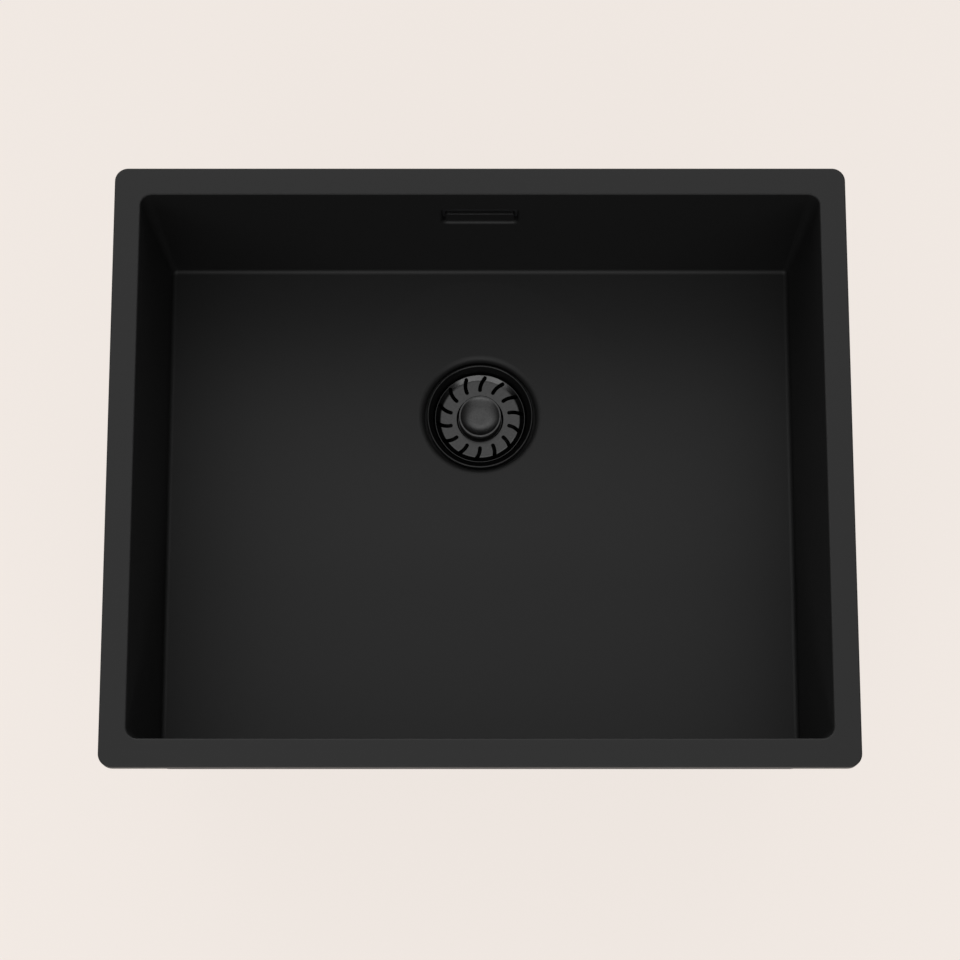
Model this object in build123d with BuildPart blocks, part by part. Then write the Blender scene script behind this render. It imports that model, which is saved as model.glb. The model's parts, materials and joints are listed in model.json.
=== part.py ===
"""Undermount composite kitchen sink with a basket strainer waste and a piped overflow.

Millimetres. The origin is the middle of the rim's top face, which the worktop rests on.
+X runs along the sink, +Y points to the wall with the overflow, and +Z is up.
"""

import os
from math import acos, atan, cos, degrees, hypot, radians, sin

from build123d import *

os.makedirs("parts", exist_ok=True)

# Bowl moulding
RIM_LENGTH = 560.0
RIM_WIDTH = 460.0
RIM_LAND = 20.25  # flat land from the mouth to the rim's outer edge, at the two ends
RIM_LAND_FRONT = 21.25  # the same along the front and the back
RIM_THICKNESS = 10.0
RIM_CORNER_RADIUS = 10.0
RIM_EDGE_RADIUS = 1.0
RIM_ROOT_FILLET = 4.0  # where the wall leaves the underside of the rim
MOUTH_CORNER_RADIUS = 8.5
MOUTH_EDGE_RADIUS = 1.5
BOWL_DEPTH = 186.5
WALL_THICKNESS = 6.0
WALL_LEAN = 4.0  # how far each wall comes in from the mouth to the floor
FLOOR_THICKNESS = 9.0
FLOOR_FILLET = 4.0
SHELL_CORNER_RADIUS = 18.0  # outside corners of the walls, under the rim
UNDERSIDE_FILLET = 11.5

# Threaded inserts for the fixing clips, in bosses under the rim
INSERT_INSET = 9.2  # from the rim's outer edge to an insert's axis
INSERT_SPACING_LONG_SIDE = 300.0
INSERT_SPACING_SHORT_SIDE = 220.0
INSERT_RADIUS = 3.6
INSERT_LENGTH = 12.0
INSERT_BORE_RADIUS = 2.1  # tapping size for the clip's M5 screw
INSERT_GROOVE = 0.6  # depth and half width of the groove that locks an insert in
INSERT_BOSS_WALL = 2.4
INSERT_BOSS_HEIGHT = 16.0

# Drain opening in the floor
DRAIN_SETBACK = 127.5  # from the mouth's back edge to the drain's axis
DRAIN_FALL = 1.2  # how much lower the floor lies at the drain
FALL_MARGIN = 6.0  # flat floor left between the fall and the fillet of the wall
RECESS_EDGE_RADIUS = 5.0
SHELF_THICKNESS = 12.0  # composite under the shelf that carries the waste
DRAIN_BOSS_WALL = 20.0  # composite around the waste's hole, under the floor
DRAIN_BOSS_FILLET = 5.0

# Waste flange, a pressed dish that hangs in the drain opening
DISH_RADIUS = 38.8
DISH_WALL = 1.2
DISH_STRAIGHT = 14.0  # depth of the dish's upright wall under the flange's edge
DISH_BEND_RADIUS = 2.0
FLANGE_FACE = 4.9  # width of the ring seen around the dish
FLANGE_FALL = 5.3  # how far that ring slopes down to the dish
FLANGE_GAP = 1.9  # open ring between the flange's edge and the composite
FLANGE_SINK = 2.6  # from the floor at the drain down to the flange's edge
FLANGE_EDGE_BEND = 0.9
DISH_CLEARANCE = 0.6
SEAT_DEPTH = 31.0  # from the flange's edge down to the plug's seat
SEAT_WIDTH = 6.5
SUMP_RADIUS = 22.5
SUMP_DEPTH = 11.0
SUMP_HOLES = 8
SUMP_HOLE_RADIUS = 4.4

# Rubber rings of the waste
FLANGE_SEAL_THICKNESS = 2.0
FLANGE_SEAL_OVERHANG = 0.4
BODY_SEAL_THICKNESS = 2.5
SEAL_CLEARANCE = 0.3

# Hollow centre screw, its washer and its nut
SCREW_RADIUS = 6.0
SCREW_HEAD_RADIUS = 9.0
SCREW_HEAD_HEIGHT = 5.0
SCREW_SLOT_WIDTH = 3.0
SCREW_SLOT_DEPTH = 2.0
SCREW_CLEARANCE = 0.3
SCREW_END_WALL = 4.0
SCREW_WASHER_THICKNESS = 1.2
SCREW_WASHER_OVERHANG = 0.8
NUT_RADIUS = 8.6
NUT_HEIGHT = 12.0
NUT_DEPTH = 9.0  # from the top of the body's centre boss to the nut
NUT_CLEARANCE = 0.1

# Waste body under the bowl
BODY_CHAMBER = 3.2  # overflow water's gap around the dish
BODY_WALL = 3.0
BODY_FLANGE_WIDTH = 12.0
BODY_FLANGE_THICKNESS = 5.0
BODY_RIBS = 10
BODY_RIB_THICKNESS = 2.4
BODY_BOSS_WALL = 2.4
BODY_BOSS_END = 2.0  # closed end of the boss, below the nut
SPOKES = 3
SPOKE_THICKNESS = 3.0
SPOKE_HEIGHT = 15.0
FUNNEL_TOP_CLEARANCE = 11.0  # from the dish's bottom to the top of the funnel
FUNNEL_HEIGHT = 13.0
OUTLET_RADIUS = 23.9  # outside of the 1 1/2 inch pipe thread
OUTLET_WALL = 4.0
OUTLET_LENGTH = 22.0
OUTLET_COLLAR = 3.0  # width and height of the collar above the thread
INLET_DROP = 16.5  # from the body's top face down to the overflow inlet's axis
INLET_REACH = 28.0  # from the body's wall to the end of the inlet
INLET_WALL = 3.4

# Strainer basket and the pieces it carries
BASKET_CLEARANCE = 0.8  # between the basket's top edge and the dish
BASKET_SHEET = 1.0
BASKET_DEPTH = 3.0  # from the top edge down to the perforated plate
BASKET_FLARE = 4.3  # width of the flared rim outside the plate
LIP_DROP = 9.6  # from the flange's edge down to the basket's top edge
LIP_EDGE = 0.6  # unbroken rim outside the slots
BASKET_EDGE_RADIUS = 0.4
BASKET_BEND_RADIUS = 2.5
SLOT_COUNT = 14
SLOT_WIDTH = 3.2
SLOT_BEND_RADIUS = 14.0
SLOT_LAND = 4.4  # plain ring between the knob's dimple and the slots
KNOB_RADIUS = 17.6
KNOB_GAP = 1.1
KNOB_HEIGHT = 15.3
KNOB_HOLLOW = 2.6  # depth of the hollow in the knob's top
KNOB_HOLLOW_FLAT = 6.0  # radius of the hollow's flat middle
KNOB_LIP = 1.5  # width of the lip around the hollow
KNOB_EDGE_RADIUS = 0.6
DIMPLE_DEPTH = 5.0
DIMPLE_EDGE_RADIUS = 0.8
STEM_THREAD_RADIUS = 3.0
STEM_THREAD_LENGTH = 8.0
STEM_SHAFT_RADIUS = 5.0
STEM_COLLAR_RADIUS = 9.0
STEM_COLLAR_HEIGHT = 2.5
STEM_CLEARANCE = 0.15
STEM_GUIDE_CLEARANCE = 0.35  # around the tip that slides in the centre screw
STEM_TIP_CHAMFER = 1.0
STEM_TIP_ROOM = 6.0  # free depth left under the stem in the screw
PLUG_THICKNESS = 3.5
PLUG_INSET = 1.5  # from the plug's edge to the outside of its seat
PLUG_EDGE_RADIUS = 0.8
SEAL_PLATE_THICKNESS = 1.5
STEM_NUT_RADIUS = 6.0
STEM_NUT_HEIGHT = 3.6

# Overflow opening in the back wall
OVERFLOW_TOP = 36.1  # from the rim down to the opening
OVERFLOW_WIDTH = 60.0
OVERFLOW_HEIGHT = 32.0
OVERFLOW_CORNER_RADIUS = 5.0
OVERFLOW_EDGE_RADIUS = 2.5
OVERFLOW_RECESS = 6.0  # from the wall's face back to the ledge
OVERFLOW_LEDGE = 4.0
OVERFLOW_LEDGE_CORNER = 3.0
OVERFLOW_WALL = 13.0  # composite at the pad behind the opening
PAD_MARGIN = 1.0
FRAME_CLEARANCE = 0.4
FRAME_FLANGE = 2.0
FRAME_WALL = 1.6
FRAME_WEB = 3.6
FRAME_SLEEVE_GAP = 0.6  # the sleeve ends this far short of the pad's face
INTAKE_HEIGHT = 9.0
COVER_SINK = 0.9  # the cover's face lies this far behind the mouth's back edge
COVER_SIDE_GAP = 2.8
COVER_LAND = 0.5  # from the intake down to the cover's top edge
COVER_EDGE_RADIUS = 0.7
COVER_CORNER_RADIUS = 2.0
COVER_PIN_RADIUS = 1.5
COVER_PIN_LENGTH = 3.0
COVER_PIN_INSET = 6.0  # from the cover's end to a pin
OVERFLOW_SCREW_RADIUS = 2.0
OVERFLOW_SCREW_HEAD_RADIUS = 3.8
SCREW_HEAD_TAPER = 41.0
OVERFLOW_SCREW_SPACING = 24.0
FIT_CLEARANCE = 0.05

# Overflow gasket, elbow, pipe and union nut
GASKET_THICKNESS = 2.0
GASKET_MARGIN = 9.0  # gasket outside the wall's through hole
GASKET_CORNER_RADIUS = 8.0
ELBOW_WALL = 2.5
ELBOW_FLANGE_THICKNESS = 3.5
HOOD_DEPTH = 19.5
HOOD_MARGIN = 1.5  # room inside the hood around the wall's through hole
HOOD_EDGE_RADIUS = 6.0
HOOD_OVERHANG = 2.5  # hood below the gasket
NECK_RISE = 20.0  # how far the neck's round back runs up the hood
PIPE_RADIUS = 10.0
PIPE_WALL = 1.6
PIPE_BEND_RADIUS = 30.0
PIPE_CLEARANCE = 0.3
PIPE_INSET = 10.0  # from the gasket's face to the pipe's axis
SOCKET_WALL = 2.8
SOCKET_LENGTH = 18.0
THROAT_LENGTH = 5.0
ORING_HEIGHT = 2.6
ORING_DEPTH = 1.6
ORING_INSET = 5.0  # from the socket's mouth to the ring
PIPE_WASHER_THICKNESS = 3.0
PIPE_NUT_WALL = 4.0
PIPE_NUT_SKIRT = 10.0
PIPE_NUT_RIBS = 12
PIPE_NUT_RIB_RADIUS = 1.6

# Places that follow from the sizes above
mouth_length = RIM_LENGTH - 2 * RIM_LAND
mouth_width = RIM_WIDTH - 2 * RIM_LAND_FRONT
shell_length = mouth_length + 2 * WALL_THICKNESS
shell_width = mouth_width + 2 * WALL_THICKNESS
shell_depth = BOWL_DEPTH + FLOOR_THICKNESS
lean_angle = degrees(atan(WALL_LEAN / BOWL_DEPTH))
floor_z = -BOWL_DEPTH
floor_fillet = min(FLOOR_FILLET, MOUTH_CORNER_RADIUS - WALL_LEAN - 0.5)

insert_y = RIM_WIDTH / 2 - INSERT_INSET
insert_x = RIM_LENGTH / 2 - INSERT_INSET
insert_boss_radius = INSERT_RADIUS + INSERT_BOSS_WALL
insert_face_z = -RIM_THICKNESS - INSERT_BOSS_HEIGHT
# Each insert's place, and the turn that points its boss at the wall
insert_places = [
    (side * INSERT_SPACING_LONG_SIDE / 2, end * insert_y, 90 * (1 - end) + 180)
    for side in (-1, 1)
    for end in (-1, 1)
] + [
    (end * insert_x, side * INSERT_SPACING_SHORT_SIDE / 2, 90 * end)
    for side in (-1, 1)
    for end in (-1, 1)
]

drain_y = mouth_width / 2 - DRAIN_SETBACK
drain_axis = Axis((0, drain_y, 0), (0, 0, 1))
drain_top_z = floor_z - DRAIN_FALL
fall_radius = DRAIN_SETBACK - WALL_LEAN - floor_fillet - FALL_MARGIN
flange_radius = DISH_RADIUS + FLANGE_FACE
recess_radius = flange_radius + FLANGE_GAP
drain_hole_radius = DISH_RADIUS + DISH_WALL + DISH_CLEARANCE
flange_z = drain_top_z - FLANGE_SINK
flange_edge_z = flange_z - FLANGE_FALL - DISH_WALL
shelf_z = flange_edge_z - FLANGE_SEAL_THICKNESS
drain_boss_z = shelf_z - SHELF_THICKNESS
seat_z = flange_z - SEAT_DEPTH
seat_radius = SUMP_RADIUS + SEAT_WIDTH
sump_z = seat_z - SUMP_DEPTH
dish_bottom_z = sump_z - DISH_WALL

screw_seat_z = sump_z + SCREW_WASHER_THICKNESS
screw_top_z = screw_seat_z + SCREW_HEAD_HEIGHT
nut_top_z = dish_bottom_z - NUT_DEPTH
nut_bottom_z = nut_top_z - NUT_HEIGHT
screw_hole_radius = SCREW_RADIUS + SCREW_CLEARANCE
stem_tip_radius = STEM_THREAD_RADIUS
screw_bore_radius = stem_tip_radius + STEM_GUIDE_CLEARANCE
screw_bore_z = nut_bottom_z + SCREW_END_WALL
sump_hole_circle = (SCREW_HEAD_RADIUS + SCREW_WASHER_OVERHANG + SUMP_RADIUS) / 2

body_top_z = drain_boss_z - BODY_SEAL_THICKNESS
body_radius = DISH_RADIUS + DISH_WALL + BODY_CHAMBER
body_flange_radius = body_radius + BODY_WALL + BODY_FLANGE_WIDTH
body_boss_radius = NUT_RADIUS + NUT_CLEARANCE + BODY_BOSS_WALL
body_boss_z = nut_bottom_z - BODY_BOSS_END
funnel_z = dish_bottom_z - FUNNEL_TOP_CLEARANCE
funnel_end_z = funnel_z - FUNNEL_HEIGHT
outlet_bore_radius = OUTLET_RADIUS - OUTLET_WALL
outlet_collar_z = funnel_end_z - BODY_WALL
outlet_top_z = outlet_collar_z - OUTLET_COLLAR
outlet_z = outlet_top_z - OUTLET_LENGTH
inlet_z = body_top_z - INLET_DROP
inlet_plane = Plane(origin=(0, drain_y, inlet_z), x_dir=(-1, 0, 0), z_dir=(0, 1, 0))
inlet_end_y = drain_y + body_radius + BODY_WALL + INLET_REACH

lip_radius = DISH_RADIUS - BASKET_CLEARANCE
lip_z = flange_z - LIP_DROP
plate_z = lip_z - BASKET_DEPTH
basket_mouth_radius = lip_radius - BASKET_SHEET
plate_radius = basket_mouth_radius - BASKET_FLARE
dimple_radius = KNOB_RADIUS + KNOB_GAP
dimple_z = plate_z - DIMPLE_DEPTH
stem_top_z = dimple_z - BASKET_SHEET
knob_top_z = dimple_z + KNOB_HEIGHT
plug_top_z = seat_z + PLUG_THICKNESS
seal_plate_top_z = plug_top_z + SEAL_PLATE_THICKNESS
stem_nut_z = seat_z - STEM_NUT_HEIGHT
plug_radius = seat_radius - PLUG_INSET
stem_tip_z = screw_bore_z + STEM_TIP_ROOM
# Middle line of a slot that points along local x: an arc about a point to its right
slot_start = dimple_radius + SLOT_LAND + SLOT_WIDTH / 2
slot_end = basket_mouth_radius - LIP_EDGE - SLOT_WIDTH / 2
slot_centre_distance = hypot(slot_start, SLOT_BEND_RADIUS)
slot_sweep = degrees(
    acos(
        (slot_centre_distance**2 + SLOT_BEND_RADIUS**2 - slot_end**2)
        / (2 * slot_centre_distance * SLOT_BEND_RADIUS)
    )
    - atan(slot_start / SLOT_BEND_RADIUS)
)
slot_line = CenterArc((slot_start, -SLOT_BEND_RADIUS), SLOT_BEND_RADIUS, 90, -slot_sweep)

overflow_z = -OVERFLOW_TOP - OVERFLOW_HEIGHT / 2
wall_y = mouth_width / 2
ledge_y = wall_y + OVERFLOW_RECESS
pad_y = wall_y + OVERFLOW_WALL
frame_y = ledge_y - FRAME_FLANGE
gasket_y = pad_y + GASKET_THICKNESS
hood_y = gasket_y + HOOD_DEPTH
through_width = OVERFLOW_WIDTH - 2 * OVERFLOW_LEDGE
through_height = OVERFLOW_HEIGHT - 2 * OVERFLOW_LEDGE
sleeve_width = through_width - 2 * FRAME_CLEARANCE
sleeve_height = through_height - 2 * FRAME_CLEARANCE
intake_width = sleeve_width - 2 * FRAME_WALL
intake_top = sleeve_height / 2 - FRAME_WALL
intake_bottom = intake_top - INTAKE_HEIGHT
cover_top = intake_bottom - COVER_LAND
cover_bottom = -OVERFLOW_HEIGHT / 2 + FRAME_CLEARANCE
cover_width = OVERFLOW_WIDTH - 2 * COVER_SIDE_GAP
web_middle = (intake_bottom - sleeve_height / 2) / 2
sleeve_end_y = pad_y - FRAME_SLEEVE_GAP
overflow_screw_places = [(side * OVERFLOW_SCREW_SPACING / 2, web_middle) for side in (-1, 1)]
cover_pin_places = [(side * (cover_width / 2 - COVER_PIN_INSET), web_middle) for side in (-1, 1)]
overflow_screw_end_y = hood_y - ELBOW_WALL
cover_y = wall_y + COVER_SINK
post_radius = OVERFLOW_SCREW_RADIUS + ELBOW_WALL
gasket_width = through_width + 2 * GASKET_MARGIN
gasket_height = through_height + 2 * GASKET_MARGIN
pad_width = gasket_width + 2 * PAD_MARGIN
pad_height = gasket_height + 2 * PAD_MARGIN
hood_width = through_width + 2 * ELBOW_WALL + 2 * HOOD_MARGIN
hood_top = through_height / 2 + ELBOW_WALL + HOOD_MARGIN
hood_bottom = -gasket_height / 2 - HOOD_OVERHANG
hood_height = hood_top - hood_bottom
hood_middle = (hood_top + hood_bottom) / 2
hood_bottom_z = overflow_z + hood_bottom
pipe_y = gasket_y + PIPE_INSET
socket_radius = PIPE_RADIUS + PIPE_CLEARANCE
neck_radius = socket_radius + SOCKET_WALL
neck_taper = degrees(atan((pipe_y + neck_radius - hood_y + ELBOW_WALL / 2) / NECK_RISE))
pipe_bore_radius = PIPE_RADIUS - PIPE_WALL
socket_top_z = hood_bottom_z - THROAT_LENGTH
socket_z = socket_top_z - SOCKET_LENGTH
oring_z = socket_z + ORING_INSET
inlet_radius = socket_radius + INLET_WALL
inlet_shoulder_y = inlet_end_y - SOCKET_LENGTH
nut_face_y = inlet_end_y + PIPE_WASHER_THICKNESS
pipe_nut_radius = inlet_radius + PIPE_CLEARANCE + PIPE_NUT_WALL


def drain_section(turn=0.0):
    """Upright plane through the drain's axis: local x is outwards, local y is +Z."""
    outwards = (cos(radians(turn)), sin(radians(turn)), 0)
    across = (sin(radians(turn)), -cos(radians(turn)), 0)
    return Plane(origin=(0, drain_y, 0), x_dir=outwards, z_dir=across)


def wall_plane(y):
    """Upright plane at y, seen from inside the bowl: local x is -X, local y is +Z."""
    return Plane(origin=(0, y, overflow_z), x_dir=(-1, 0, 0), z_dir=(0, 1, 0))


def save(builder, name):
    """Labels a finished piece and writes it."""
    builder.part.label = name
    export_step(builder.part, f"parts/{name}.step")


# Bowl: outside of the moulding
with BuildPart() as bowl:
    with BuildSketch(Plane.XY.offset(-RIM_THICKNESS)):
        RectangleRounded(RIM_LENGTH, RIM_WIDTH, RIM_CORNER_RADIUS)
    extrude(amount=RIM_THICKNESS)
    with BuildSketch(Plane.XY):
        RectangleRounded(shell_length, shell_width, SHELL_CORNER_RADIUS)
    extrude(amount=-shell_depth, taper=lean_angle)
    underside = bowl.faces().sort_by(Axis.Z)[0]
    fillet(underside.edges(), UNDERSIDE_FILLET)
    rim_underside = bowl.faces().filter_by(Plane.XY).sort_by(Axis.Z)[1]
    fillet(rim_underside.inner_wires()[0].edges(), RIM_ROOT_FILLET)
    # Pad that the overflow gasket seals against
    with BuildSketch(wall_plane(pad_y)):
        RectangleRounded(pad_width, pad_height, GASKET_CORNER_RADIUS + PAD_MARGIN)
    extrude(amount=-OVERFLOW_WALL)
    # Ring under the floor that the waste clamps
    with BuildSketch(Plane((0, drain_y, drain_boss_z))):
        Circle(drain_hole_radius + DRAIN_BOSS_WALL)
    extrude(amount=floor_z - drain_boss_z)
    drain_boss_root = bowl.edges().filter_by(GeomType.CIRCLE).filter_by_position(
        Axis.Z, -shell_depth - 0.1, -shell_depth + 0.1
    )
    fillet(drain_boss_root, DRAIN_BOSS_FILLET)
    # Bosses for the threaded inserts
    with BuildSketch(Plane.XY.offset(insert_face_z)):
        for x, y, turn in insert_places:
            with Locations(Location((x, y, 0), (0, 0, turn))):
                Circle(insert_boss_radius)
                Rectangle(
                    2 * insert_boss_radius,
                    RIM_LAND_FRONT - INSERT_INSET - WALL_THICKNESS / 2,
                    align=(Align.CENTER, Align.MIN),
                )
    extrude(amount=INSERT_BOSS_HEIGHT)
    # Inside of the bowl
    with BuildSketch(Plane.XY):
        RectangleRounded(mouth_length, mouth_width, MOUTH_CORNER_RADIUS)
    extrude(amount=-BOWL_DEPTH, taper=lean_angle, mode=Mode.SUBTRACT)
    floor = bowl.faces().filter_by(Plane.XY).filter_by_position(Axis.Z, floor_z - 0.1, floor_z + 0.1)
    fillet(floor.sort_by(SortBy.AREA)[-1].edges(), floor_fillet)
    rim_face = bowl.faces().sort_by(Axis.Z)[-1]
    fillet(rim_face.inner_wires()[0].edges(), MOUTH_EDGE_RADIUS)
    rim_face = bowl.faces().sort_by(Axis.Z)[-1]
    fillet(rim_face.outer_wire().edges(), RIM_EDGE_RADIUS)
    # Fall of the floor, recess, shelf and hole for the waste
    with BuildSketch(drain_section()):
        with BuildLine():
            Polyline(
                (0, floor_z),
                (fall_radius, floor_z),
                (recess_radius, drain_top_z),
                (recess_radius, shelf_z),
                (drain_hole_radius, shelf_z),
                (drain_hole_radius, drain_boss_z),
                (0, drain_boss_z),
                close=True,
            )
        make_face()
    revolve(axis=drain_axis, mode=Mode.SUBTRACT)
    recess_edge = bowl.edges().filter_by(GeomType.CIRCLE).filter_by_position(
        Axis.Z, drain_top_z - 0.1, drain_top_z + 0.1
    )
    fillet(recess_edge, RECESS_EDGE_RADIUS)
    # Overflow opening: a recess with a ledge, and the hole through the pad
    with BuildSketch(wall_plane(wall_y - OVERFLOW_WALL)):
        RectangleRounded(OVERFLOW_WIDTH, OVERFLOW_HEIGHT, OVERFLOW_CORNER_RADIUS)
    extrude(amount=OVERFLOW_WALL + OVERFLOW_RECESS, mode=Mode.SUBTRACT)
    with BuildSketch(wall_plane(ledge_y)):
        RectangleRounded(through_width, through_height, OVERFLOW_LEDGE_CORNER)
    extrude(amount=OVERFLOW_WALL, mode=Mode.SUBTRACT)
    overflow_edge = (
        bowl.edges()
        .filter_by_position(Axis.Y, wall_y - WALL_LEAN, wall_y)
        .filter_by_position(Axis.Z, overflow_z - OVERFLOW_HEIGHT, overflow_z + OVERFLOW_HEIGHT)
        .filter_by_position(Axis.X, -OVERFLOW_WIDTH, OVERFLOW_WIDTH)
    )
    fillet(overflow_edge, OVERFLOW_EDGE_RADIUS)
    # Blind holes for the inserts
    with BuildSketch(Plane.XY.offset(insert_face_z)):
        with Locations(*[(x, y) for x, y, turn in insert_places]):
            Circle(INSERT_RADIUS)
    extrude(amount=INSERT_LENGTH, mode=Mode.SUBTRACT)
save(bowl, "bowl")

# Eight brass inserts, each with a locking groove and a tapped bore
with BuildPart() as rim_inserts:
    with BuildSketch(Plane.XY.offset(insert_face_z)):
        with Locations(*[(x, y) for x, y, turn in insert_places]):
            Circle(INSERT_RADIUS - FIT_CLEARANCE)
            Circle(INSERT_BORE_RADIUS, mode=Mode.SUBTRACT)
    extrude(amount=INSERT_LENGTH)
    with BuildSketch(Plane.XY.offset(insert_face_z + INSERT_LENGTH / 2 - INSERT_GROOVE)):
        with Locations(*[(x, y) for x, y, turn in insert_places]):
            Circle(INSERT_RADIUS)
            Circle(INSERT_RADIUS - INSERT_GROOVE, mode=Mode.SUBTRACT)
    extrude(amount=2 * INSERT_GROOVE, mode=Mode.SUBTRACT)
save(rim_inserts, "rim_inserts")

# Waste flange: sheet pressed into a sloping ring, a dish, the plug's seat and a sump
with BuildPart() as waste_flange:
    with BuildSketch(drain_section()):
        with BuildLine():
            FilletPolyline(
                (flange_radius, flange_edge_z),
                (flange_radius, flange_z),
                (DISH_RADIUS, flange_z - FLANGE_FALL),
                (DISH_RADIUS, flange_z - DISH_STRAIGHT),
                (seat_radius, seat_z),
                (SUMP_RADIUS, seat_z),
                (SUMP_RADIUS, sump_z),
                (screw_hole_radius, sump_z),
                radius=[
                    FLANGE_EDGE_BEND,
                    DISH_BEND_RADIUS,
                    DISH_BEND_RADIUS,
                    DISH_BEND_RADIUS,
                    DISH_BEND_RADIUS,
                    DISH_BEND_RADIUS,
                ],
            )
            offset(amount=DISH_WALL, side=Side.LEFT)
        make_face()
    revolve(axis=drain_axis)
    with BuildSketch(Plane((0, drain_y, dish_bottom_z))):
        with PolarLocations(sump_hole_circle, SUMP_HOLES, start_angle=180 / SUMP_HOLES):
            Circle(SUMP_HOLE_RADIUS)
    extrude(amount=2 * DISH_WALL, mode=Mode.SUBTRACT)
save(waste_flange, "waste_flange")

# Rubber ring under the flange's turned-down edge
with BuildPart() as flange_seal:
    with BuildSketch(Plane((0, drain_y, shelf_z))):
        Circle(flange_radius + FLANGE_SEAL_OVERHANG)
        Circle(drain_hole_radius + SEAL_CLEARANCE, mode=Mode.SUBTRACT)
    extrude(amount=FLANGE_SEAL_THICKNESS)
save(flange_seal, "flange_seal")

# Rubber ring between the bowl and the waste body
with BuildPart() as body_seal:
    with BuildSketch(Plane((0, drain_y, body_top_z))):
        Circle(body_flange_radius - SEAL_CLEARANCE)
        Circle(body_radius, mode=Mode.SUBTRACT)
    extrude(amount=BODY_SEAL_THICKNESS)
save(body_seal, "body_seal")

# Waste body: clamping flange, chamber, funnel, threaded outlet and overflow inlet
with BuildPart() as waste_body:
    with BuildSketch(drain_section()):
        with BuildLine():
            Polyline(
                (body_radius, body_top_z),
                (body_flange_radius, body_top_z),
                (body_flange_radius, body_top_z - BODY_FLANGE_THICKNESS),
                (body_radius + BODY_WALL, body_top_z - BODY_FLANGE_THICKNESS),
                (body_radius + BODY_WALL, funnel_z),
                (OUTLET_RADIUS + OUTLET_COLLAR, outlet_collar_z),
                (OUTLET_RADIUS + OUTLET_COLLAR, outlet_top_z),
                (OUTLET_RADIUS, outlet_top_z),
                (OUTLET_RADIUS, outlet_z),
                (outlet_bore_radius, outlet_z),
                (outlet_bore_radius, funnel_end_z),
                (body_radius, funnel_z),
                close=True,
            )
        make_face()
    revolve(axis=drain_axis)
    # Ribs between the flange and the chamber's wall
    with BuildSketch(*[drain_section(360 / BODY_RIBS * i) for i in range(BODY_RIBS)]):
        with BuildLine():
            Polyline(
                (body_radius + BODY_WALL / 2, body_top_z - BODY_FLANGE_THICKNESS / 2),
                (body_flange_radius - BODY_WALL, body_top_z - BODY_FLANGE_THICKNESS / 2),
                (body_flange_radius - BODY_WALL, body_top_z - BODY_FLANGE_THICKNESS),
                (body_radius + BODY_WALL / 2, funnel_z),
                close=True,
            )
        make_face()
    extrude(amount=BODY_RIB_THICKNESS / 2, both=True)
    # Centre boss on three spokes
    with BuildSketch(Plane((0, drain_y, body_boss_z))):
        Circle(body_boss_radius)
    extrude(amount=dish_bottom_z - body_boss_z)
    with BuildSketch(Plane((0, drain_y, body_boss_z))):
        with PolarLocations(0, SPOKES):
            Rectangle(
                outlet_bore_radius + OUTLET_WALL / 2,
                SPOKE_THICKNESS,
                align=(Align.MIN, Align.CENTER),
            )
    extrude(amount=SPOKE_HEIGHT)
    with BuildSketch(Plane((0, drain_y, nut_bottom_z))):
        Circle(screw_hole_radius)
    extrude(amount=dish_bottom_z - nut_bottom_z, mode=Mode.SUBTRACT)
    with BuildSketch(Plane((0, drain_y, nut_bottom_z))):
        RegularPolygon(NUT_RADIUS + NUT_CLEARANCE, 6, major_radius=False)
    extrude(amount=NUT_HEIGHT, mode=Mode.SUBTRACT)
    # Overflow inlet
    with BuildSketch(inlet_plane.offset(body_radius + BODY_WALL / 2)):
        Circle(inlet_radius)
    extrude(amount=inlet_end_y - drain_y - body_radius - BODY_WALL / 2)
    with BuildSketch(inlet_plane.offset(body_radius - BODY_WALL)):
        Circle(pipe_bore_radius)
    extrude(amount=inlet_end_y - drain_y - body_radius, mode=Mode.SUBTRACT)
    with BuildSketch(inlet_plane.offset(inlet_shoulder_y - drain_y)):
        Circle(socket_radius)
    extrude(amount=SOCKET_LENGTH, mode=Mode.SUBTRACT)
save(waste_body, "waste_body")

# Hexagonal nut moulded into the body's centre boss
with BuildPart() as body_nut:
    with BuildSketch(Plane((0, drain_y, nut_bottom_z))):
        RegularPolygon(NUT_RADIUS, 6, major_radius=False)
        Circle(SCREW_RADIUS + FIT_CLEARANCE, mode=Mode.SUBTRACT)
    extrude(amount=NUT_HEIGHT)
save(body_nut, "body_nut")

# Washer under the centre screw's head
with BuildPart() as screw_washer:
    with BuildSketch(Plane((0, drain_y, sump_z))):
        Circle(SCREW_HEAD_RADIUS + SCREW_WASHER_OVERHANG)
        Circle(screw_hole_radius, mode=Mode.SUBTRACT)
    extrude(amount=SCREW_WASHER_THICKNESS)
save(screw_washer, "screw_washer")

# Hollow centre screw with a slotted head
with BuildPart() as waste_screw:
    with BuildSketch(Plane((0, drain_y, nut_bottom_z))):
        Circle(SCREW_RADIUS)
    extrude(amount=screw_seat_z - nut_bottom_z)
    with BuildSketch(Plane((0, drain_y, screw_seat_z))):
        Circle(SCREW_HEAD_RADIUS)
    extrude(amount=SCREW_HEAD_HEIGHT)
    chamfer(waste_screw.faces().sort_by(Axis.Z)[-1].edges(), SCREW_SLOT_DEPTH / 2)
    with BuildSketch(Plane((0, drain_y, screw_top_z - SCREW_SLOT_DEPTH))):
        Rectangle(2 * SCREW_HEAD_RADIUS, SCREW_SLOT_WIDTH)
    extrude(amount=SCREW_SLOT_DEPTH, mode=Mode.SUBTRACT)
    with BuildSketch(Plane((0, drain_y, screw_bore_z))):
        Circle(screw_bore_radius)
    extrude(amount=screw_top_z - screw_bore_z, mode=Mode.SUBTRACT)
save(waste_screw, "waste_screw")

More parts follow.
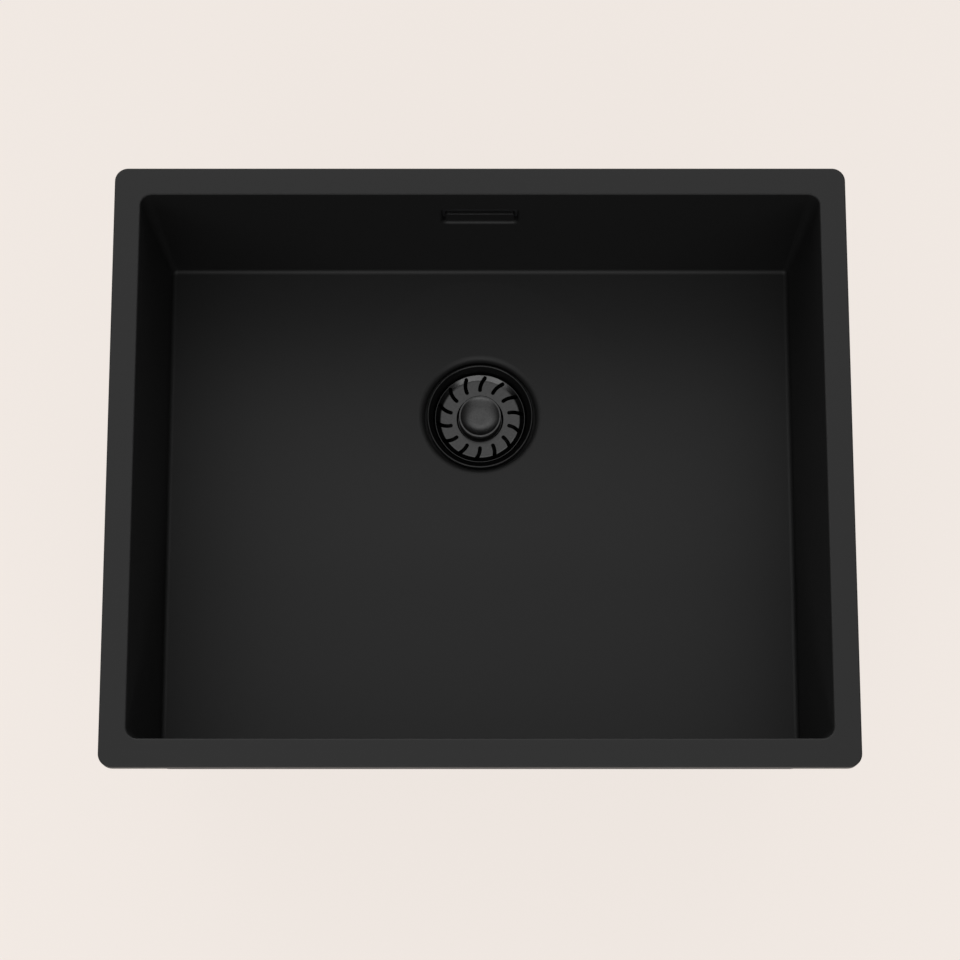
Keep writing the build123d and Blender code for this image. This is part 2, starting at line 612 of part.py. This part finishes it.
# Strainer basket: sheet pressed into a flared rim, a flat plate and the knob's dimple
with BuildPart() as strainer_basket:
    with BuildSketch(drain_section()):
        with BuildLine():
            FilletPolyline(
                (basket_mouth_radius, lip_z),
                (plate_radius, plate_z),
                (dimple_radius, plate_z),
                (dimple_radius, dimple_z),
                (STEM_THREAD_RADIUS + STEM_CLEARANCE, dimple_z),
                radius=[BASKET_BEND_RADIUS, DIMPLE_EDGE_RADIUS, DIMPLE_EDGE_RADIUS],
            )
            offset(amount=BASKET_SHEET, side=Side.LEFT)
        make_face()
    revolve(axis=drain_axis)
    rim_edges = strainer_basket.edges().filter_by(GeomType.CIRCLE).filter_by_position(
        Axis.Z, lip_z - BASKET_SHEET, lip_z + 0.1
    )
    fillet(rim_edges, BASKET_EDGE_RADIUS)
    # Swirl slots: each leaves its inner end straight outwards, bends away and runs up the rim
    with BuildSketch(Plane((0, drain_y, stem_top_z))):
        with PolarLocations(0, SLOT_COUNT, start_angle=90):
            SlotArc(slot_line, SLOT_WIDTH)
    extrude(amount=lip_z - stem_top_z, mode=Mode.SUBTRACT)
save(strainer_basket, "strainer_basket")

# Knob with a hollowed top, screwed on the stem from above
with BuildPart() as basket_knob:
    with BuildSketch(drain_section()):
        with BuildLine():
            Polyline(
                (KNOB_HOLLOW_FLAT, knob_top_z - KNOB_HOLLOW),
                (0, knob_top_z - KNOB_HOLLOW),
                (0, dimple_z),
                (KNOB_RADIUS, dimple_z),
                (KNOB_RADIUS, knob_top_z),
                (KNOB_RADIUS - KNOB_LIP, knob_top_z),
            )
            TangentArc(
                (KNOB_HOLLOW_FLAT, knob_top_z - KNOB_HOLLOW),
                (KNOB_RADIUS - KNOB_LIP, knob_top_z),
                tangent=(1, 0),
            )
        make_face()
    revolve(axis=drain_axis)
    lip_edges = basket_knob.edges().filter_by_position(Axis.Z, knob_top_z - 0.1, knob_top_z + 0.1)
    fillet(lip_edges, KNOB_EDGE_RADIUS)
    with BuildSketch(Plane((0, drain_y, dimple_z))):
        Circle(STEM_THREAD_RADIUS + FIT_CLEARANCE)
    extrude(amount=STEM_THREAD_LENGTH, mode=Mode.SUBTRACT)
save(basket_knob, "basket_knob")

# Stem: thread for the knob, collar under the basket, shaft, and the tip that slides in the screw
with BuildPart() as basket_stem:
    with BuildSketch(drain_section()):
        with BuildLine():
            Polyline(
                (0, dimple_z + STEM_THREAD_LENGTH),
                (STEM_THREAD_RADIUS, dimple_z + STEM_THREAD_LENGTH),
                (STEM_THREAD_RADIUS, stem_top_z),
                (STEM_COLLAR_RADIUS, stem_top_z),
                (STEM_COLLAR_RADIUS, stem_top_z - STEM_COLLAR_HEIGHT),
                (STEM_SHAFT_RADIUS, stem_top_z - STEM_COLLAR_HEIGHT),
                (STEM_SHAFT_RADIUS, seal_plate_top_z),
                (stem_tip_radius, seal_plate_top_z),
                (stem_tip_radius, stem_tip_z + STEM_TIP_CHAMFER),
                (stem_tip_radius - STEM_TIP_CHAMFER, stem_tip_z),
                (0, stem_tip_z),
                close=True,
            )
        make_face()
    revolve(axis=drain_axis)
save(basket_stem, "basket_stem")

# Steel disc that backs the plug seal
with BuildPart() as seal_plate:
    with BuildSketch(Plane((0, drain_y, plug_top_z))):
        Circle(SUMP_RADIUS)
        Circle(stem_tip_radius + FIT_CLEARANCE, mode=Mode.SUBTRACT)
    extrude(amount=SEAL_PLATE_THICKNESS)
save(seal_plate, "seal_plate")

# Rubber plug disc, lying on its seat
with BuildPart() as plug_seal:
    with BuildSketch(Plane((0, drain_y, seat_z))):
        Circle(plug_radius)
        Circle(stem_tip_radius + FIT_CLEARANCE, mode=Mode.SUBTRACT)
    extrude(amount=PLUG_THICKNESS)
    fillet(plug_seal.faces().sort_by(Axis.Z)[-1].outer_wire().edges(), PLUG_EDGE_RADIUS)
save(plug_seal, "plug_seal")

# Nut that holds the plug seal on the stem
with BuildPart() as stem_nut:
    with BuildSketch(Plane((0, drain_y, stem_nut_z))):
        RegularPolygon(STEM_NUT_RADIUS, 6, major_radius=False)
        Circle(stem_tip_radius + FIT_CLEARANCE, mode=Mode.SUBTRACT)
    extrude(amount=STEM_NUT_HEIGHT)
save(stem_nut, "stem_nut")

# Overflow frame: flange on the ledge, sleeve through the wall, intake above a web
with BuildPart() as overflow_frame:
    with BuildSketch(wall_plane(frame_y)):
        RectangleRounded(
            OVERFLOW_WIDTH - 2 * FRAME_CLEARANCE,
            OVERFLOW_HEIGHT - 2 * FRAME_CLEARANCE,
            OVERFLOW_CORNER_RADIUS - FRAME_CLEARANCE,
        )
    extrude(amount=FRAME_FLANGE)
    with BuildSketch(wall_plane(ledge_y)):
        RectangleRounded(sleeve_width, sleeve_height, OVERFLOW_LEDGE_CORNER - FRAME_CLEARANCE)
    extrude(amount=sleeve_end_y - ledge_y)
    with BuildSketch(wall_plane(frame_y)):
        with Locations((0, intake_top)):
            Rectangle(intake_width, INTAKE_HEIGHT, align=(Align.CENTER, Align.MAX))
    extrude(amount=sleeve_end_y - frame_y, mode=Mode.SUBTRACT)
    # Hollow behind the web, with a boss around each screw
    with BuildSketch(wall_plane(frame_y + FRAME_WEB)):
        with Locations((0, web_middle)):
            Rectangle(intake_width, intake_bottom - web_middle - FRAME_WALL, align=(Align.CENTER, Align.MIN))
            Rectangle(intake_width, intake_bottom - web_middle - FRAME_WALL, align=(Align.CENTER, Align.MAX))
        with Locations(*overflow_screw_places):
            Circle(OVERFLOW_SCREW_HEAD_RADIUS, mode=Mode.SUBTRACT)
    extrude(amount=sleeve_end_y - frame_y, mode=Mode.SUBTRACT)
    with Locations(*[wall_plane(frame_y) * Pos(x, z) * Rot(180, 0, 0) for x, z in overflow_screw_places]):
        CounterSinkHole(
            OVERFLOW_SCREW_RADIUS + FIT_CLEARANCE,
            OVERFLOW_SCREW_HEAD_RADIUS + FIT_CLEARANCE,
        )
    with BuildSketch(wall_plane(frame_y)):
        with Locations(*cover_pin_places):
            Circle(COVER_PIN_RADIUS + FIT_CLEARANCE)
    extrude(amount=FRAME_WEB, mode=Mode.SUBTRACT)
save(overflow_frame, "overflow_frame")

# Overflow cover: plate on the frame's web, with two pins pressed into it
with BuildPart() as overflow_cover:
    with BuildSketch(wall_plane(cover_y)):
        with Locations((0, (cover_top + cover_bottom) / 2)):
            RectangleRounded(cover_width, cover_top - cover_bottom, COVER_CORNER_RADIUS)
    extrude(amount=frame_y - cover_y)
    fillet(overflow_cover.faces().sort_by(Axis.Y)[0].edges(), COVER_EDGE_RADIUS)
    with BuildSketch(wall_plane(frame_y)):
        with Locations(*cover_pin_places):
            Circle(COVER_PIN_RADIUS)
    extrude(amount=COVER_PIN_LENGTH)
save(overflow_cover, "overflow_cover")

# Two countersunk screws from the frame into the elbow
with BuildPart() as overflow_screws:
    with BuildSketch(wall_plane(frame_y)):
        with Locations(*overflow_screw_places):
            Circle(OVERFLOW_SCREW_RADIUS)
    extrude(amount=overflow_screw_end_y - frame_y)
    for x, z in overflow_screw_places:
        with BuildSketch(wall_plane(frame_y)):
            with Locations((x, z)):
                Circle(OVERFLOW_SCREW_HEAD_RADIUS)
        extrude(amount=OVERFLOW_SCREW_HEAD_RADIUS - OVERFLOW_SCREW_RADIUS, taper=SCREW_HEAD_TAPER)
save(overflow_screws, "overflow_screws")

# Gasket between the pad and the elbow
with BuildPart() as overflow_gasket:
    with BuildSketch(wall_plane(pad_y)):
        RectangleRounded(gasket_width, gasket_height, GASKET_CORNER_RADIUS)
        RectangleRounded(through_width, through_height, OVERFLOW_LEDGE_CORNER, mode=Mode.SUBTRACT)
    extrude(amount=GASKET_THICKNESS)
save(overflow_gasket, "overflow_gasket")

# Elbow: flange, hollow hood with screw posts, and a neck with the pipe's socket
with BuildPart() as overflow_elbow:
    with BuildSketch(wall_plane(gasket_y)):
        with Locations((0, hood_middle)):
            RectangleRounded(hood_width, hood_height, GASKET_CORNER_RADIUS)
    extrude(amount=HOOD_DEPTH)
    fillet(overflow_elbow.faces().sort_by(Axis.Y)[-1].edges(), HOOD_EDGE_RADIUS)
    with BuildSketch(wall_plane(gasket_y)):
        RectangleRounded(gasket_width, gasket_height, GASKET_CORNER_RADIUS)
    extrude(amount=ELBOW_FLANGE_THICKNESS)
    with BuildSketch(Plane((0, pipe_y, socket_z))):
        Circle(neck_radius)
    extrude(amount=hood_bottom_z - socket_z)
    with BuildSketch(Plane((0, pipe_y, hood_bottom_z))):
        Circle(neck_radius)
        with Locations((0, -neck_radius)):
            Rectangle(2 * neck_radius, neck_radius, mode=Mode.SUBTRACT)
    extrude(amount=NECK_RISE, taper=neck_taper)
    # Window through the flange, and the inside of the hood behind it
    with BuildSketch(wall_plane(gasket_y)):
        Rectangle(through_width + 2 * HOOD_MARGIN, through_height + 2 * HOOD_MARGIN)
    extrude(amount=ELBOW_FLANGE_THICKNESS, mode=Mode.SUBTRACT)
    with BuildSketch(wall_plane(gasket_y + ELBOW_FLANGE_THICKNESS)):
        with Locations((0, hood_middle)):
            RectangleRounded(
                hood_width - 2 * ELBOW_WALL,
                hood_height - 2 * ELBOW_WALL,
                GASKET_CORNER_RADIUS - ELBOW_WALL,
            )
    extrude(amount=HOOD_DEPTH - ELBOW_FLANGE_THICKNESS - ELBOW_WALL, mode=Mode.SUBTRACT)
    with BuildSketch(wall_plane(gasket_y)):
        with Locations(*overflow_screw_places):
            Circle(post_radius)
    extrude(amount=HOOD_DEPTH - ELBOW_WALL / 2)
    with BuildSketch(wall_plane(gasket_y)):
        with Locations(*overflow_screw_places):
            Circle(OVERFLOW_SCREW_RADIUS + FIT_CLEARANCE)
    extrude(amount=HOOD_DEPTH - ELBOW_WALL, mode=Mode.SUBTRACT)
    # Throat, socket and the groove for the rubber ring
    with BuildSketch(Plane((0, pipe_y, socket_z))):
        Circle(pipe_bore_radius)
    extrude(amount=hood_bottom_z + 2 * ELBOW_WALL - socket_z, mode=Mode.SUBTRACT)
    with BuildSketch(Plane((0, pipe_y, socket_z))):
        Circle(socket_radius)
    extrude(amount=SOCKET_LENGTH, mode=Mode.SUBTRACT)
    with BuildSketch(Plane((0, pipe_y, oring_z))):
        Circle(PIPE_RADIUS + ORING_DEPTH + FIT_CLEARANCE)
    extrude(amount=ORING_HEIGHT, mode=Mode.SUBTRACT)
save(overflow_elbow, "overflow_elbow")

# Rubber ring in the elbow's socket
with BuildPart() as pipe_oring:
    with BuildSketch(Plane((0, pipe_y, oring_z))):
        Circle(PIPE_RADIUS + ORING_DEPTH)
        Circle(PIPE_RADIUS + FIT_CLEARANCE, mode=Mode.SUBTRACT)
    extrude(amount=ORING_HEIGHT)
save(pipe_oring, "pipe_oring")

# Rigid overflow pipe: down behind the wall, then forwards under the floor
with BuildPart() as overflow_pipe:
    with BuildLine() as pipe_line:
        FilletPolyline(
            (0, pipe_y, socket_top_z),
            (0, pipe_y, inlet_z),
            (0, inlet_shoulder_y, inlet_z),
            radius=PIPE_BEND_RADIUS,
        )
    with BuildSketch(Plane((0, pipe_y, socket_top_z))):
        Circle(PIPE_RADIUS)
        Circle(pipe_bore_radius, mode=Mode.SUBTRACT)
    sweep(path=pipe_line.line)
save(overflow_pipe, "overflow_pipe")

# Rubber washer at the pipe's lower end
with BuildPart() as pipe_washer:
    with BuildSketch(inlet_plane.offset(inlet_end_y - drain_y)):
        Circle(inlet_radius)
        Circle(PIPE_RADIUS + FIT_CLEARANCE, mode=Mode.SUBTRACT)
    extrude(amount=PIPE_WASHER_THICKNESS)
save(pipe_washer, "pipe_washer")

# Union nut with grip ribs
with BuildPart() as pipe_nut:
    with BuildSketch(inlet_plane.offset(inlet_end_y - PIPE_NUT_SKIRT - drain_y)):
        Circle(pipe_nut_radius)
        with PolarLocations(pipe_nut_radius, PIPE_NUT_RIBS):
            Circle(PIPE_NUT_RIB_RADIUS)
    extrude(amount=PIPE_NUT_SKIRT + PIPE_WASHER_THICKNESS + PIPE_NUT_WALL)
    with BuildSketch(inlet_plane.offset(inlet_end_y - PIPE_NUT_SKIRT - drain_y)):
        Circle(inlet_radius + PIPE_CLEARANCE)
    extrude(amount=PIPE_NUT_SKIRT + PIPE_WASHER_THICKNESS, mode=Mode.SUBTRACT)
    with BuildSketch(inlet_plane.offset(nut_face_y - drain_y)):
        Circle(socket_radius)
    extrude(amount=PIPE_NUT_WALL, mode=Mode.SUBTRACT)
save(pipe_nut, "pipe_nut")
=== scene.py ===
"""Black composite kitchen sink: looks, outlet thread, stage, light and camera.

Metres, in the part's frame: origin at the middle of the rim's top face, +Y to the overflow, +Z up.
"""

import json
from math import cos, pi, radians, sin

import bpy
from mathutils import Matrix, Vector


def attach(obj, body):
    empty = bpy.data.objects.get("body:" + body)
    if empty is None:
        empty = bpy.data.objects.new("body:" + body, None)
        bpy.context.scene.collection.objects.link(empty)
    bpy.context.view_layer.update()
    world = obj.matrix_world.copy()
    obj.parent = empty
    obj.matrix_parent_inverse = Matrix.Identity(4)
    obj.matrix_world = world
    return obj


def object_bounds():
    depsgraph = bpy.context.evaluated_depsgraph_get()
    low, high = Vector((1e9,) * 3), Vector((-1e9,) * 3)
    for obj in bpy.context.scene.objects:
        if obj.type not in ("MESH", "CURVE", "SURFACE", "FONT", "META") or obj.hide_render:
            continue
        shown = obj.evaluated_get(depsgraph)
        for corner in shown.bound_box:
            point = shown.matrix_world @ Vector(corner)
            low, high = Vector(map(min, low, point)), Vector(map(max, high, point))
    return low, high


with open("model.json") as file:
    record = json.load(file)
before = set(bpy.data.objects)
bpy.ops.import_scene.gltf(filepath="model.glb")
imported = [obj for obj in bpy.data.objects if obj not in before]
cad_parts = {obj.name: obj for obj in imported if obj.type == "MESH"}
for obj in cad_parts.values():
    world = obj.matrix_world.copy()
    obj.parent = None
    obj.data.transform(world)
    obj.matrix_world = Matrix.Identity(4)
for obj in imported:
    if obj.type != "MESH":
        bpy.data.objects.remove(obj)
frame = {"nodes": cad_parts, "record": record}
cad_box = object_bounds()
nodes = frame["nodes"]
mounts = {mount["name"]: mount for mount in frame["record"]["mounts"]}

# Stage and light; a direction's share is how far a unit step that way goes sideways or backwards
PAPER = (0.905, 0.838, 0.789, 1.0)  # pale warm studio paper
PAPER_SIZE = 40.0
PAPER_GAP = 0.0005  # between the outlet and the paper
PAPER_GLOW = 0.9  # part of the paper's brightness that no shadow dims
ROOM_LEVEL = 0.11  # light from all around
LAMP_LEVELS = (0.63, 1.01)  # wide soft lamp overhead, and what its back part adds
LAMP_LEAN = -0.08  # the lamp's middle, a little to the left
LAMP_ACROSS = (0.68, 0.25)  # sideways share from the lamp's edge to its full level
LAMP_FRONT = (-0.80, -0.55)  # backwards share from the lamp's front edge to its full level
LAMP_BACK = (0.16, 0.50)  # backwards share over which the lamp brightens
KEY_PLACE = Vector((-0.1, -1.8, 1.45))
KEY_TARGET = Vector((0.0, 0.0, -0.1))
KEY_SIZE = (3.4, 0.7)
KEY_POWER = 21.5

# Camera, fitted to the photo's rim, mouth and floor lines
CAMERA_PLACE = (0.0, -0.45382, 1.99494)
CAMERA_TILT = 12.4063
CAMERA_LENS = 102.376
CAMERA_SENSOR = 36.0

# Grain of the surfaces
GRAIN_DETAIL = 4.0
GRAIN_SPAN = (0.3, 0.7)  # noise levels between the darker and the lighter tint
GRAIN_HEIGHT = 0.0001

# Pipe thread on the outlet
THREAD_PITCH = 0.0023
THREAD_RIDGE = 0.0006  # radius of the ridge
THREAD_END_GAP = 0.002  # plain outlet left at each end of the thread
THREAD_STEPS = 48  # points in one turn


# Materials


def grained(
    name,
    colour,
    roughness,
    metallic=0.0,
    specular=0.5,
    scale=900.0,
    tint=0.15,
    spread=0.06,
    bump=0.1,
):
    """Principled material with a fine grain in its colour, its roughness and its surface."""
    material = bpy.data.materials.new(name)
    material.use_nodes = True
    tree = material.node_tree
    shader = tree.nodes["Principled BSDF"]
    shader.inputs["Metallic"].default_value = metallic
    shader.inputs["Specular IOR Level"].default_value = specular
    place = tree.nodes.new("ShaderNodeTexCoord")
    noise = tree.nodes.new("ShaderNodeTexNoise")
    noise.inputs["Scale"].default_value = scale
    noise.inputs["Detail"].default_value = GRAIN_DETAIL
    tree.links.new(place.outputs["Object"], noise.inputs["Vector"])
    ramp = tree.nodes.new("ShaderNodeValToRGB")
    for stop, position, change in zip(ramp.color_ramp.elements, GRAIN_SPAN, (-tint, tint)):
        stop.position = position
        stop.color = (*[c * (1 + change) for c in colour], 1.0)
    tree.links.new(noise.outputs["Fac"], ramp.inputs["Fac"])
    tree.links.new(ramp.outputs["Color"], shader.inputs["Base Color"])
    rough = tree.nodes.new("ShaderNodeMapRange")
    rough.inputs["To Min"].default_value = roughness - spread
    rough.inputs["To Max"].default_value = roughness + spread
    tree.links.new(noise.outputs["Fac"], rough.inputs["Value"])
    tree.links.new(rough.outputs["Result"], shader.inputs["Roughness"])
    relief = tree.nodes.new("ShaderNodeBump")
    relief.inputs["Strength"].default_value = bump
    relief.inputs["Distance"].default_value = GRAIN_HEIGHT
    tree.links.new(noise.outputs["Fac"], relief.inputs["Height"])
    tree.links.new(relief.outputs["Normal"], shader.inputs["Normal"])
    return material


materials = {
    "composite": grained("composite", (0.006, 0.006, 0.006), 0.58, specular=0.48, scale=1400.0, bump=0.05),
    "cover_black": grained("cover_black", (0.006, 0.006, 0.006), 0.45, specular=0.37, bump=0.05),
    "flange_black": grained("flange_black", (0.004, 0.004, 0.004), 0.20, specular=0.37, bump=0.05),
    "strainer_satin": grained("strainer_satin", (0.065, 0.065, 0.065), 0.24, metallic=1.0, bump=0.05),
    "knob_satin": grained("knob_satin", (0.072, 0.072, 0.072), 0.30, metallic=1.0, bump=0.05),
    "black_moulding": grained("black_moulding", (0.016, 0.016, 0.017), 0.55, scale=2200.0, bump=0.3),
    "grey_pipe": grained("grey_pipe", (0.09, 0.09, 0.094), 0.4, scale=500.0),
    "seal_rubber": grained("seal_rubber", (0.014, 0.014, 0.014), 0.75, specular=0.3),
    "brass": grained("brass", (0.62, 0.44, 0.17), 0.3, metallic=1.0),
    "steel": grained("steel", (0.56, 0.56, 0.57), 0.3, metallic=1.0),
}
for part in frame["record"]["subparts"]:
    mesh = nodes[part["node"]].data
    mesh.materials.clear()
    mesh.materials.append(materials[part["material_slot"]])


# Outlet thread


def outlet_thread():
    """Helical ridge around the outlet, for the trap's union nut."""
    outlet = mounts["waste_outlet"]
    radius = outlet["dims"]["r_mm"] / 1000
    length = outlet["dims"]["length_mm"] / 1000 - 2 * THREAD_END_GAP
    x, y, z = outlet["pos_m"]
    curve = bpy.data.curves.new("outlet_thread", "CURVE")
    curve.dimensions = "3D"
    curve.bevel_depth = THREAD_RIDGE
    curve.bevel_resolution = 2
    curve.use_fill_caps = True
    line = curve.splines.new("POLY")
    steps = round(length / THREAD_PITCH * THREAD_STEPS)
    line.points.add(steps)
    for i, point in enumerate(line.points):
        turn = 2 * pi * i / THREAD_STEPS
        rise = THREAD_END_GAP + length * i / steps
        point.co = (x + radius * cos(turn), y + radius * sin(turn), z + rise, 1.0)
    curve.materials.append(materials["black_moulding"])
    ridge = bpy.data.objects.new("outlet_thread", curve)
    bpy.context.scene.collection.objects.link(ridge)
    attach(ridge, "sink")


outlet_thread()


# Stage: pale paper under the sink, a dim room with a soft lamp, and a lamp in front


def combined(tree, operation, first, second=0.0):
    """Output of one maths step on two values, each a number or a socket."""
    node = tree.nodes.new("ShaderNodeMath")
    node.operation = operation
    for place, value in zip(node.inputs, (first, second)):
        if isinstance(value, float):
            place.default_value = value
        else:
            tree.links.new(value, place)
    return node.outputs["Value"]


def ranged(tree, value, span, levels):
    """Socket that goes from one level to the other while the value crosses the span."""
    node = tree.nodes.new("ShaderNodeMapRange")
    node.inputs["From Min"].default_value, node.inputs["From Max"].default_value = span
    node.inputs["To Min"].default_value, node.inputs["To Max"].default_value = levels
    tree.links.new(value, node.inputs["Value"])
    return node.outputs["Result"]


def rays_seen(tree):
    """Socket that is 1 for camera, mirror and see-through rays."""
    path = tree.nodes.new("ShaderNodeLightPath")
    mirrored = combined(tree, "MAXIMUM", path.outputs["Is Camera Ray"], path.outputs["Is Glossy Ray"])
    return combined(tree, "MAXIMUM", mirrored, path.outputs["Is Transmission Ray"])


def mixed(tree, factor, first, second):
    """Mix of two shader sockets; the factor is a number or a socket."""
    mix = tree.nodes.new("ShaderNodeMixShader")
    if isinstance(factor, float):
        mix.inputs["Fac"].default_value = factor
    else:
        tree.links.new(factor, mix.inputs["Fac"])
    tree.links.new(first, mix.inputs[1])
    tree.links.new(second, mix.inputs[2])
    return mix.outputs["Shader"]


def paper_material():
    """Pale paper that keeps a faint shadow, and is see-through from below."""
    material = bpy.data.materials.new("paper")
    material.use_nodes = True
    tree = material.node_tree
    tree.nodes.remove(tree.nodes["Principled BSDF"])
    matt = tree.nodes.new("ShaderNodeBsdfDiffuse")
    matt.inputs["Color"].default_value = PAPER
    glow = tree.nodes.new("ShaderNodeEmission")
    glow.inputs["Color"].default_value = PAPER
    clear = tree.nodes.new("ShaderNodeBsdfTransparent")
    side = tree.nodes.new("ShaderNodeNewGeometry")
    pale = mixed(tree, PAPER_GLOW, matt.outputs["BSDF"], glow.outputs["Emission"])
    shown = mixed(tree, rays_seen(tree), matt.outputs["BSDF"], pale)
    sheet = mixed(tree, side.outputs["Backfacing"], shown, clear.outputs["BSDF"])
    tree.links.new(sheet, tree.nodes["Material Output"].inputs["Surface"])
    return material


def room_world():
    """Dim room with a wide soft lamp overhead that is brighter to the back."""
    world = bpy.data.worlds.new("room")
    world.use_nodes = True
    tree = world.node_tree
    facing = tree.nodes.new("ShaderNodeTexCoord")
    towards = tree.nodes.new("ShaderNodeSeparateXYZ")
    tree.links.new(facing.outputs["Generated"], towards.inputs["Vector"])
    sideways = combined(tree, "ABSOLUTE", combined(tree, "SUBTRACT", towards.outputs["X"], LAMP_LEAN))
    across = ranged(tree, sideways, LAMP_ACROSS, (0.0, 1.0))
    front = ranged(tree, towards.outputs["Y"], LAMP_FRONT, (0.0, LAMP_LEVELS[0]))
    back = ranged(tree, towards.outputs["Y"], LAMP_BACK, (0.0, LAMP_LEVELS[1]))
    lamp = combined(tree, "MULTIPLY", across, combined(tree, "ADD", front, back))
    room = tree.nodes["Background"]
    room.inputs["Color"].default_value = (1.0, 1.0, 1.0, 1.0)
    tree.links.new(combined(tree, "ADD", lamp, ROOM_LEVEL), room.inputs["Strength"])
    return world


bpy.ops.mesh.primitive_plane_add(size=PAPER_SIZE, location=(0.0, 0.0, cad_box[0].z - PAPER_GAP))
floor = bpy.context.object
floor.name = "floor"
floor.data.materials.append(paper_material())
bpy.context.scene.world = room_world()

key_data = bpy.data.lights.new("key", "AREA")
key_data.shape = "RECTANGLE"
key_data.size, key_data.size_y = KEY_SIZE
key_data.energy = KEY_POWER
key = bpy.data.objects.new("key", key_data)
key.location = KEY_PLACE
key.rotation_euler = (KEY_TARGET - KEY_PLACE).to_track_quat("-Z", "Y").to_euler()
bpy.context.scene.collection.objects.link(key)


# Camera

camera_data = bpy.data.cameras.new("camera")
camera_data.sensor_width = CAMERA_SENSOR
camera_data.lens = CAMERA_LENS
camera = bpy.data.objects.new("camera", camera_data)
camera.location = CAMERA_PLACE
camera.rotation_euler = (radians(CAMERA_TILT), 0.0, 0.0)
bpy.context.scene.collection.objects.link(camera)
bpy.context.scene.camera = camera
bpy.context.scene.view_settings.view_transform = "Standard"
